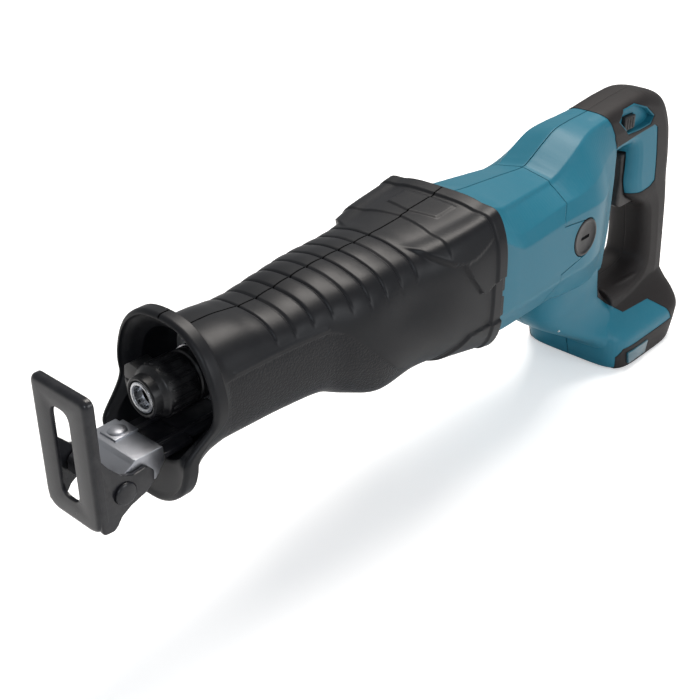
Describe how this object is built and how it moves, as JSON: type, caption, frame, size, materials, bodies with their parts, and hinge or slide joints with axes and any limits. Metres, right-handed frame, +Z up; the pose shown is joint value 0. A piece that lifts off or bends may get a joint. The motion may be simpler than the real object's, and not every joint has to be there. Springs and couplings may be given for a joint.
{
  "type": "reciprocating saw",
  "caption": "Cordless reciprocating saw: D handle with trigger, teal shells, rubber nose boot, blade clamp, pivoting shoe, motor and crank drive inside.",
  "frame": {"origin": "middle of the bounding box at the level of the underside of the battery foot", "axes": "+Y from the shoe to the handle along the barrel, +X to the left side of the tool as its user holds it, +Z up"},
  "size_m": [0.083, 0.4869, 0.1771],
  "materials": {
    "teal_housing": "satin teal moulded nylon",
    "boot_rubber": "semi-matt black rubber, fine texture on the lower sides",
    "grip_rubber": "matt charcoal soft overmould",
    "black_plastic": "satin black plastic",
    "black_steel": "semi-gloss black coated steel",
    "bright_steel": "ground steel",
    "aluminium": "die cast, lightly rough",
    "bronze": "sintered bronze and brass",
    "copper": "copper bars",
    "core_steel": "laminated steel, varnished",
    "magnet": "grey ferrite",
    "carbon": "pressed carbon",
    "felt": "oiled felt",
    "badge": "blank gloss plate"
  },
  "bodies": {
    "housing": {"front_boot": "boot_rubber", "gear_housing": "aluminium", "shaft_guide": "aluminium", "front_bush": "bronze", "rear_bush": "bronze", "shaft_seal": "felt", "crank_bearing": "bright_steel", "crank_seat": "aluminium", "motor_bracket": "aluminium", "front_bearing": "bright_steel", "rear_bearing": "bright_steel", "field_ring": "core_steel", "magnet_left": "magnet", "magnet_right": "magnet", "brush_left": "carbon", "brush_right": "carbon", "brush_holder_left": "bronze", "brush_holder_right": "bronze", "brush_cap_left": "black_plastic", "brush_cap_right": "black_plastic", "end_bell": "black_plastic", "motor_housing": "teal_housing", "handle_left": "teal_housing", "handle_right": "teal_housing", "grip_left": "grip_rubber", "grip_right": "grip_rubber", "badge_left": "badge", "badge_right": "badge", "handle_screw_1": "black_steel", "handle_screw_2": "black_steel", "handle_screw_3": "black_steel", "handle_screw_4": "black_steel", "switch_body": "black_plastic", "controller": "aluminium", "terminal_block": "black_plastic"},
    "armature": {"motor_shaft": "bright_steel", "armature_core": "core_steel", "commutator": "copper", "cooling_fan": "black_plastic", "drive_pinion": "bright_steel"},
    "crank": {"crank_gear": "bright_steel", "crank_pin": "bright_steel", "crank_roller": "bronze"},
    "blade_slider": {"blade_shaft": "bright_steel", "shaft_yoke": "bright_steel"},
    "blade_clamp": {"clamp_sleeve": "black_plastic", "clamp_ring": "bright_steel"},
    "shoe_slider": {"shoe_bracket": "black_steel", "guide_block": "aluminium", "shoe_pin": "black_steel"},
    "shoe": {"shoe_plate": "black_steel"},
    "shoe_release": {"shoe_button": "black_plastic"},
    "trigger": {"trigger": "black_plastic"},
    "lock_bar": {"lock_button": "black_plastic"}
  },
  "joints": [
    {"name": "motor_spin", "type": "hinge", "parent": "housing", "child": "armature", "pos_m": [0, 0.052, 0.1185], "axis": [0, 1, 0], "range_deg": [0, 1080]},
    {"name": "crank_spin", "type": "hinge", "parent": "housing", "child": "crank", "pos_m": [0, -0.076, 0.1085], "axis": [0, 0, 1], "range_deg": [0, 180]},
    {"name": "blade_stroke", "type": "slide", "parent": "housing", "child": "blade_slider", "axis": [0, -1, 0], "range_m": [0, 0.032]},
    {"name": "clamp_turn", "type": "hinge", "parent": "blade_slider", "child": "blade_clamp", "pos_m": [0, -0.186, 0.1315], "axis": [0, 1, 0], "range_deg": [0, 80], "stiffness_Nm_per_rad": 0.05},
    {"name": "shoe_reach", "type": "slide", "parent": "housing", "child": "shoe_slider", "axis": [0, -1, 0], "range_m": [0, 0.03]},
    {"name": "shoe_tilt", "type": "hinge", "parent": "shoe_slider", "child": "shoe", "pos_m": [0, -0.229, 0.105], "axis": [1, 0, 0], "range_deg": [0, 40]},
    {"name": "shoe_release_slide", "type": "slide", "parent": "housing", "child": "shoe_release", "axis": [1, 0, 0], "range_m": [0, 0.004]},
    {"name": "trigger_pull", "type": "slide", "parent": "housing", "child": "trigger", "axis": [0, 1, 0], "range_m": [0, 0.007], "stiffness_N_per_m": 600},
    {"name": "lock_bar_slide", "type": "slide", "parent": "housing", "child": "lock_bar", "axis": [1, 0, 0], "range_m": [0, 0.004]}
  ],
  "couplings": [
    {"joint": "crank_spin", "follows": "motor_spin", "ratio": 0.16667},
    {"joint": "blade_stroke", "follows": "motor_spin", "m_per_rad": 0.0016977}
  ]
}
